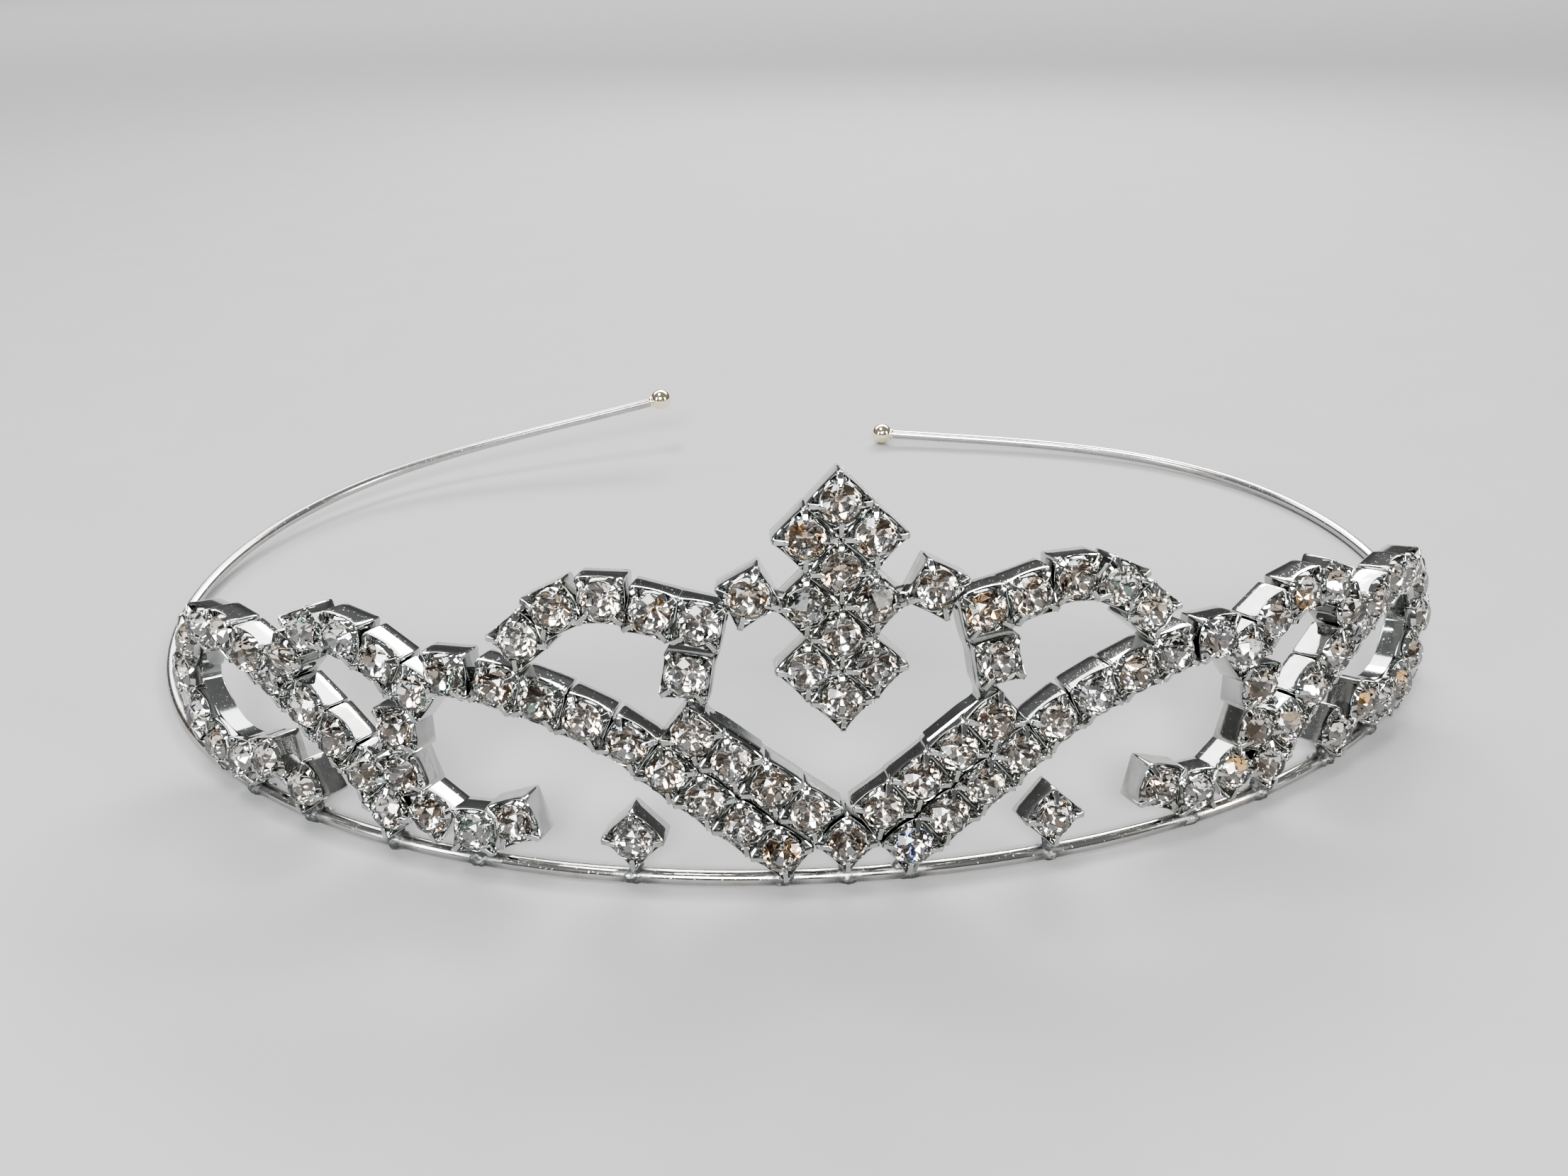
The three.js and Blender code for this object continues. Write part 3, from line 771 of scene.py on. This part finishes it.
def lump_tree():
    """Melts a lump of solder over every point: a ball pushed in and out by noise."""
    inputs = {"Size": "Float", "Roughness": "Float", "Material": "Material"}
    shop, given = new_tree("solder_lump", inputs)
    ball = shop.node("GeometryNodeMeshIcoSphere", {}, {"Radius": given["Size"], "Subdivisions": 4})
    stretch = shop.node("GeometryNodeInputNamedAttribute", {"data_type": "FLOAT_VECTOR"}, {"Name": "stretch"})
    sockets = {
        "Points": given["Geometry"],
        "Instance": ball.outputs["Mesh"],
        "Scale": stretch.outputs["Attribute"],
    }
    placed = shop.node("GeometryNodeInstanceOnPoints", {}, sockets)
    real = shop.node("GeometryNodeRealizeInstances", {}, {"Geometry": placed.outputs[0]})
    normal = shop.node("GeometryNodeInputNormal")
    wave = shop.noise(shop.node("GeometryNodeInputPosition").outputs[0], 1100, 3, 0.6)
    push = (wave - 0.5) * Number(shop, given["Roughness"])
    sockets = {0: normal.outputs[0], "Scale": push}
    shift = shop.node("ShaderNodeVectorMath", {"operation": "SCALE"}, sockets)
    sockets = {"Geometry": real.outputs[0], "Offset": shift.outputs[0]}
    pushed = shop.node("GeometryNodeSetPosition", {}, sockets)
    return end_tree(shop, close_tree(shop, pushed.outputs[0], given["Material"]))


def grown(name, seed_object, tree, values):
    """Runs a tree on a seed object and returns the result as a plain mesh object at the origin."""
    bpy.context.scene.collection.objects.link(seed_object)
    modifier = seed_object.modifiers.new("tree", "NODES")
    modifier.node_group = tree
    for item in tree.interface.items_tree:
        if item.in_out == "INPUT" and item.name in values:
            modifier[item.identifier] = values[item.name]
    bpy.context.view_layer.update()
    evaluated = seed_object.evaluated_get(bpy.context.evaluated_depsgraph_get())
    mesh = bpy.data.meshes.new_from_object(evaluated)
    mesh.name = name
    seed_object.modifiers.remove(modifier)
    bpy.data.objects.remove(seed_object)
    piece = bpy.data.objects.new(name, mesh)
    bpy.context.scene.collection.objects.link(piece)
    return piece


def points_object(places):
    """A mesh of loose points, one at each place, that remembers which way each place faces."""
    mesh = bpy.data.meshes.new("places")
    mesh.from_pydata([place @ Vector((0, 0, -SETTLED)) for place in places], [], [])
    facing = mesh.attributes.new("facing", "FLOAT_VECTOR", "POINT")
    for point, place in zip(facing.data, places):
        point.vector = place.to_euler()
    return bpy.data.objects.new("places", mesh)


SETTING_TREE = setting_tree()
WIRE_TREE = wire_tree()
LUMP_TREE = lump_tree()
CUP = cup_pattern()
STONE = stone_pattern()


# ------------------------------------------------------------ pieces


def belong(piece, slot, *nodes):
    """Rides the piece on the tiara, in place of the plain nodes it stands for; its slot is not used."""
    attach(piece, "root")
    if nodes:
        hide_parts(*nodes)
    return piece


def shaded_smooth(piece, angle=35):
    """Smooth faces, with a crease wherever two meet at more than the angle."""
    mesh = piece.data
    shape = bmesh.new()
    shape.from_mesh(mesh)
    for face in shape.faces:
        face.smooth = True
    for edge in shape.edges:
        edge.smooth = edge.calc_face_angle(0) < math.radians(angle)
    shape.to_mesh(mesh)
    shape.free()
    return piece


def rested(piece):
    """Worn flat where it would reach below the table."""
    for vertex in piece.data.vertices:
        vertex.co.z = max(vertex.co.z, 0.0)
    return piece


def set_cups(name, places, seed, *nodes):
    values = {"Pattern": CUP, "Spin": 0.022, "Tilt": 0.028, "Seed": seed, "Material": SILVER}
    piece = grown(name, points_object(places), SETTING_TREE, values)
    return belong(shaded_smooth(piece, 50), "cup_plate", *nodes)


def set_stones(name, places, seed, *nodes):
    values = {
        "Pattern": STONE,
        "Spin": math.pi,
        "Tilt": 0.06,
        "Seed": seed + STONE_SEEDS,
        "Material": CRYSTAL,
        "Backing": FOIL_AND_PAINTED_FLASHES,
    }
    piece = grown(name, points_object(places), SETTING_TREE, values)
    return belong(piece, "crystal", *nodes)


def stone_nodes(name, count, side=""):
    label = f"{name}_stone{side}"
    return [label] if count == 1 else [f"{label}_{i + 1}" for i in range(count)]


def make_settings():
    """Every row of cups with its stones, on both sides."""
    set_cups("ornament_cups", ORNAMENT, 1, "ornament_setting")
    set_stones("ornament_stones", ORNAMENT, 1, *stone_nodes("ornament", len(ORNAMENT)))
    set_cups("centre_cup", CENTRE, 2, "centre_setting")
    set_stones("centre_cup_stone", CENTRE, 2, "centre_stone")
    for number, (name, places) in enumerate(ROWS.items()):
        for side, label in SIDE_NAMES.items():
            here = [sided(place, side) for place in places]
            seed = 10 + 2 * number + (side == LEFT)
            nodes = stone_nodes(name, len(here), "_" + label) if name in LOOSE_ROWS else []
            set_cups(f"{name}_cups_{label}", here, seed, f"{name}_{label}")
            set_stones(f"{name}_stones_{label}", here, seed, *nodes)


def along_wire(point):
    """The length of wire from the front to the place nearest to a point."""
    at = (abs(point.x), point.y)
    return min(range(len(BAND)), key=lambda i: math.dist(at, BAND[i][:2])) * BAND_STEP


def solder_spots():
    """Where posts and lumps meet the wire: length along it, and side."""
    spots = [(0.0, RIGHT)]
    for name, (index, _) in POSTS.items():
        along = along_wire(ROWS[name][index].to_translation())
        spots += [(along, RIGHT), (along, LEFT)]
    return spots


def make_headband():
    """The wire, with its patches of solder and of painted shade beside the joints."""
    spots = [wire_point(along, side) for along, side in solder_spots()]
    points = []
    for i in range(WIRE_STEPS + 1):
        along = ARM_LENGTH * (1 - 2 * i / WIRE_STEPS)
        points.append(wire_point(abs(along), RIGHT if along >= 0 else LEFT))
    mesh = bpy.data.meshes.new("wire_line")
    mesh.from_pydata(points, [(i, i + 1) for i in range(WIRE_STEPS)], [])
    # Beside each joint: solder smear, and painted shade under the cups above.
    solder = mesh.attributes.new("solder", "FLOAT", "POINT")
    share = mesh.attributes.new("along", "FLOAT", "POINT")
    for i, point in enumerate(points):
        nearest = min((point - spot).length for spot in spots)
        solder.data[i].value = max(0.0, 1 - nearest / JOINT_REACH)
        share.data[i].value = abs(1 - 2 * i / WIRE_STEPS)
    line = bpy.data.objects.new("wire_line", mesh)
    values = {"Radius": WITHIN * WIRE_RADIUS, "Sides": WIRE_SIDES, "Material": WIRE}
    piece = rested(grown("headband", line, WIRE_TREE, values))
    belong(shaded_smooth(piece, 60), "wire_plate", "headband_wire")


def make_ball_tips():
    """A ball on each end of the wire, with the small collar where it was pressed on."""
    for side, label in SIDE_NAMES.items():
        end = wire_point(ARM_LENGTH, side)
        toward = (end - wire_point(ARM_LENGTH - 2 * MM, side)).normalized()
        radius = BALL_WITHIN * BALL_DIAMETER / 2
        collar = COLLAR_DIAMETER / 2
        profile = [(0.92 * WIRE_RADIUS, -1.16 * radius), (collar, -1.1 * radius)]
        profile += [(collar, -0.93 * radius), (1.22 * WIRE_RADIUS, -0.87 * radius)]
        for i in range(BALL_STEPS):
            angle = math.radians(150) * (1 - i / BALL_STEPS)
            profile.append((radius * math.sin(angle), radius * math.cos(angle)))
        shape = bmesh.new()
        rings = [ring_of(BALL_SIDES, r, z) for r, z in profile]
        skin(shape, rings, Vector((0, 0, radius)))
        ball = finish_pattern(f"ball_{label}", shape, True)
        ball.data.transform(Matrix.Translation(end) @ toward.to_track_quat("Z", "Y").to_matrix().to_4x4())
        ball.data.materials.append(TIP)
        bpy.context.scene.collection.objects.link(ball)
        belong(ball, "tip_plate", f"ball_tip_{label}")


# ------------------------------------------------------------ straps, links and solder


def behind(place, depth=LINK_DEPTH):
    return place @ Vector((0, 0, -depth))


def smooth_line(points, per_span=8):
    """A curve through the points, Catmull-Rom."""
    ends = [2 * points[0] - points[1], *points, 2 * points[-1] - points[-2]]
    line = []
    for a, b, c, d in zip(ends, ends[1:], ends[2:], ends[3:]):
        for k in range(per_span):
            t = k / per_span
            line.append(
                0.5 * (2 * b + (c - a) * t + (2 * a - 5 * b + 4 * c - d) * t**2
                       + (3 * b - a - 3 * c + d) * t**3)
            )
    return [*line, points[-1]]


def strap(name, near, far, thickness):
    """A flat strap between two edges, given as matching lists of points, with rounded edges."""
    near = smooth_line(near)
    far = smooth_line(far)
    shape = bmesh.new()
    rings = []
    for i, (a, b) in enumerate(zip(near, far)):
        j = min(i + 1, len(near) - 1)
        along = near[j] - near[max(0, i - 1)]
        wide = b - a
        out = along.cross(wide).normalized() * thickness / 2
        edge = wide.normalized() * thickness / 2
        rings.append([a + out, a + edge * -0.6, a - out, b - out, b + edge * 0.6, b + out])
    skin(shape, rings, None)
    piece = finish_pattern(name, shape, True)
    piece.data.materials.append(STRAP)
    bpy.context.scene.collection.objects.link(piece)
    belong(shaded_smooth(piece, 40), "cup_plate")


def strap_edges(spots, side, front):
    """The front and back edge of a strap, from spots (place, (across, up)) on the cups it touches."""
    edges = []
    for depth in (front, STRAP_BACK):
        edges.append(
            [sided(place, side) @ Vector((side * across, up, depth)) for place, (across, up) in spots]
        )
    return edges


def make_straps():
    """The bent straps inside each side loop and along each inner edge of the heart."""
    half = CUP_SIDE / 2
    for side, label in SIDE_NAMES.items():
        loop = [(place, (0, -half)) for place in ROWS["side_loop"]]
        strap(f"loop_strap_{label}", *strap_edges(loop, side, -1.1 * MM), 0.16 * MM)
        heart = [
            (ROWS["wing_arch"][4], (half, -0.3 * half)),
            (ROWS["wing_arch"][4], (half, half)),
            (ROWS["heart_side"][0], (0.5 * half, 1.02 * half)),
            (ROWS["heart_side"][0], (-0.6 * half, 1.02 * half)),
            (ROWS["heart_row"][3], (0.1 * half, 1.03 * half)),
            (ROWS["heart_row"][3], (-0.9 * half, 1.03 * half)),
            (ROWS["heart_row"][2], (-0.7 * half, 1.03 * half)),
        ]
        strap(f"heart_strap_{label}", *strap_edges(heart, side, -1.3 * MM), 0.2 * MM)


def link(name, start, end, facing):
    """A short bar with a slight bow and rounded edges between two cups."""
    along = (end - start).normalized()
    across = facing.cross(along).normalized() * LINK_WIDTH / 2
    middle = (start + end) / 2 + facing * LINK_BOW
    spine = [start, middle, end]
    near = [p - across for p in spine]
    far = [p + across for p in spine]
    strap(name, near, far, LINK_THICKNESS)


def make_links():
    """Bars that carry the single cups: to the heart, the ornament and between wing and peak."""
    for side, label in SIDE_NAMES.items():
        place = {name: [sided(p, side) for p in places] for name, places in ROWS.items()}
        heart_side = place["heart_side"][0]
        lobe = place["heart_lobe"][0]
        connector = place["connector"][0]
        arm = sided(ORNAMENT[4], side)
        bars = {
            "heart_side_link": (heart_side, place["heart_row"][3], LINK_DEPTH),
            "lobe_link": (lobe, place["wing_arch"][4], LINK_DEPTH),
            "ornament_link": (lobe, arm, ORNAMENT_LINK_DEPTH),
            "connector_link_inner": (connector, place["wing_row"][7], LINK_DEPTH),
            "connector_link_outer": (connector, place["peak_arch"][0], LINK_DEPTH),
        }
        for name, (start, end, depth) in bars.items():
            facing = start.to_3x3() @ Vector((0, 0, 1))
            link(f"{name}_{label}", behind(start), behind(end, depth), facing)


def make_solder():
    """Posts and lumps of solder between the lowest cups and the wire."""
    fillet = ROWS["wing_row"][0] @ Matrix.Translation((-1.5 * MM, -1.3 * MM, -0.6 * MM))
    feet = [("centre", CENTRE[0], RIGHT, CORNER_FOOT), ("fillet", fillet, RIGHT, 0.2 * CUP_SIDE)]
    for name, (index, top) in POSTS.items():
        for side, label in SIDE_NAMES.items():
            feet.append((f"{name}_{label}", sided(ROWS[name][index], side), side, top))
    for name, place, side, top in feet:
        cup = place.to_translation()
        foot = wire_point(along_wire(cup), side)
        high = cup.z - top
        low = foot.z + WIRE_RADIUS * 0.5
        middle = Vector((foot.x, foot.y - 0.1 * MM, (high + low) / 2))
        reach = (high - low) / 2 + 0.35 * MM  # the post runs into the cup and the wire
        mesh = bpy.data.meshes.new("lump")
        mesh.from_pydata([middle, foot], [], [])
        stretch = mesh.attributes.new("stretch", "FLOAT_VECTOR", "POINT")
        spread = FILLET_SPREAD if name == "fillet" else 1.0
        stretch.data[0].vector = (0.75 * spread, 0.75, reach / LUMP_RADIUS)
        stretch.data[1].vector = (1.7 * spread, 0.95, 0.95)
        seed = bpy.data.objects.new("lump", mesh)
        values = {"Size": LUMP_RADIUS, "Roughness": 0.9 * MM, "Material": SOLDER}
        piece = rested(grown(f"solder_{name}", seed, LUMP_TREE, values))
        belong(shaded_smooth(piece, 80), "wire_plate")


# ------------------------------------------------------------ floor, light and camera

CAMERA_AT = Vector((-10.26, -84.28, 74.82)) * MM
CAMERA_YAW = math.radians(3.53)
CAMERA_PITCH = math.radians(28.12)
CAMERA_ROLL = math.radians(-0.96)
SENSOR_WIDTH = 36.0
FOCAL_LENGTH = 28.46
FLOOR_HALF = 12.0


def make_floor():
    """The plain floor the tiara rests on."""
    shape = bmesh.new()
    bmesh.ops.create_grid(shape, x_segments=8, y_segments=8, size=FLOOR_HALF)
    mesh = bpy.data.meshes.new("floor")
    shape.to_mesh(mesh)
    shape.free()
    mesh.materials.append(studio_paper())
    floor = bpy.data.objects.new("floor", mesh)
    bpy.context.scene.collection.objects.link(floor)


def softbox(name, place, target, width, height, watts, colour=(1, 1, 1)):
    """A soft rectangular light that faces its target."""
    lamp = bpy.data.lights.new(name, "AREA")
    lamp.shape = "RECTANGLE"
    lamp.size = width
    lamp.size_y = height
    lamp.energy = watts
    lamp.color = colour
    box = bpy.data.objects.new(name, lamp)
    toward = Vector(target) - Vector(place)
    box.matrix_world = (
        Matrix.Translation(place) @ toward.to_track_quat("-Z", "Y").to_matrix().to_4x4()
    )
    bpy.context.scene.collection.objects.link(box)


def make_lights():
    middle = (0, 0.02, 0.015)
    softbox("back_box", (0.12, 0.50, 0.34), middle, 0.36, 0.10, 3.2, (1.0, 0.99, 0.97))
    softbox("top_box", (-0.12, 0.02, 0.60), middle, 0.24, 0.16, 3.2)
    softbox("left_box", (-0.50, -0.30, 0.26), middle, 0.14, 0.30, 1.8, (0.96, 0.98, 1.0))
    softbox("right_box", (0.50, -0.24, 0.22), middle, 0.12, 0.28, 1.8, (1.0, 0.97, 0.93))
    softbox("front_box", (-0.06, -0.46, 0.36), middle, 0.27, 0.15, 7.0)
    softbox("far_box", (0, 1.55, 1.25), (0, 1.55, 0), 3.6, 1.5, 96.0)


def make_surround():
    """A dim room above the floor that the polished metal can mirror."""
    world = bpy.data.worlds.new("surround")
    bpy.context.scene.world = world
    world.use_nodes = True
    shop = Shop(world.node_tree)
    world.node_tree.nodes.clear()
    way = shop.node("ShaderNodeTexCoord").outputs["Generated"]
    height = shop.node("ShaderNodeSeparateXYZ", {}, {0: way}).outputs["Z"]
    stops = [(0.0, (0.16, 0.16, 0.16)), (0.14, (0.11, 0.11, 0.11)), (0.35, (0.24, 0.24, 0.245))]
    tone = shop.node("ShaderNodeValToRGB", {"stops": stops}, {"Fac": height})
    glow = shop.node("ShaderNodeBackground", {}, {"Color": tone.outputs[0], "Strength": 1.0})
    shop.node("ShaderNodeOutputWorld", {}, {"Surface": glow.outputs[0]})


def make_camera():
    ahead = Vector((
        math.sin(CAMERA_YAW) * math.cos(CAMERA_PITCH),
        math.cos(CAMERA_YAW) * math.cos(CAMERA_PITCH),
        -math.sin(CAMERA_PITCH),
    ))
    level = Vector((math.cos(CAMERA_YAW), -math.sin(CAMERA_YAW), 0))
    above = level.cross(ahead)
    right = level * math.cos(CAMERA_ROLL) + above * math.sin(CAMERA_ROLL)
    up = above * math.cos(CAMERA_ROLL) - level * math.sin(CAMERA_ROLL)
    lens = bpy.data.cameras.new("camera")
    lens.sensor_width = SENSOR_WIDTH
    lens.sensor_fit = "HORIZONTAL"
    lens.lens = FOCAL_LENGTH
    lens.clip_start = 0.005
    lens.clip_end = 20
    camera = bpy.data.objects.new("camera", lens)
    camera.matrix_world = Matrix.Translation(CAMERA_AT) @ Matrix((right, up, -ahead)).transposed().to_4x4()
    bpy.context.scene.collection.objects.link(camera)
    bpy.context.scene.camera = camera


make_camera()
make_floor()
make_lights()
make_surround()
make_settings()
make_headband()
make_ball_tips()
make_straps()
make_links()
make_solder()
bpy.data.objects.remove(CUP)
bpy.data.objects.remove(STONE)
bpy.context.scene.view_settings.look = "AgX - Medium High Contrast"
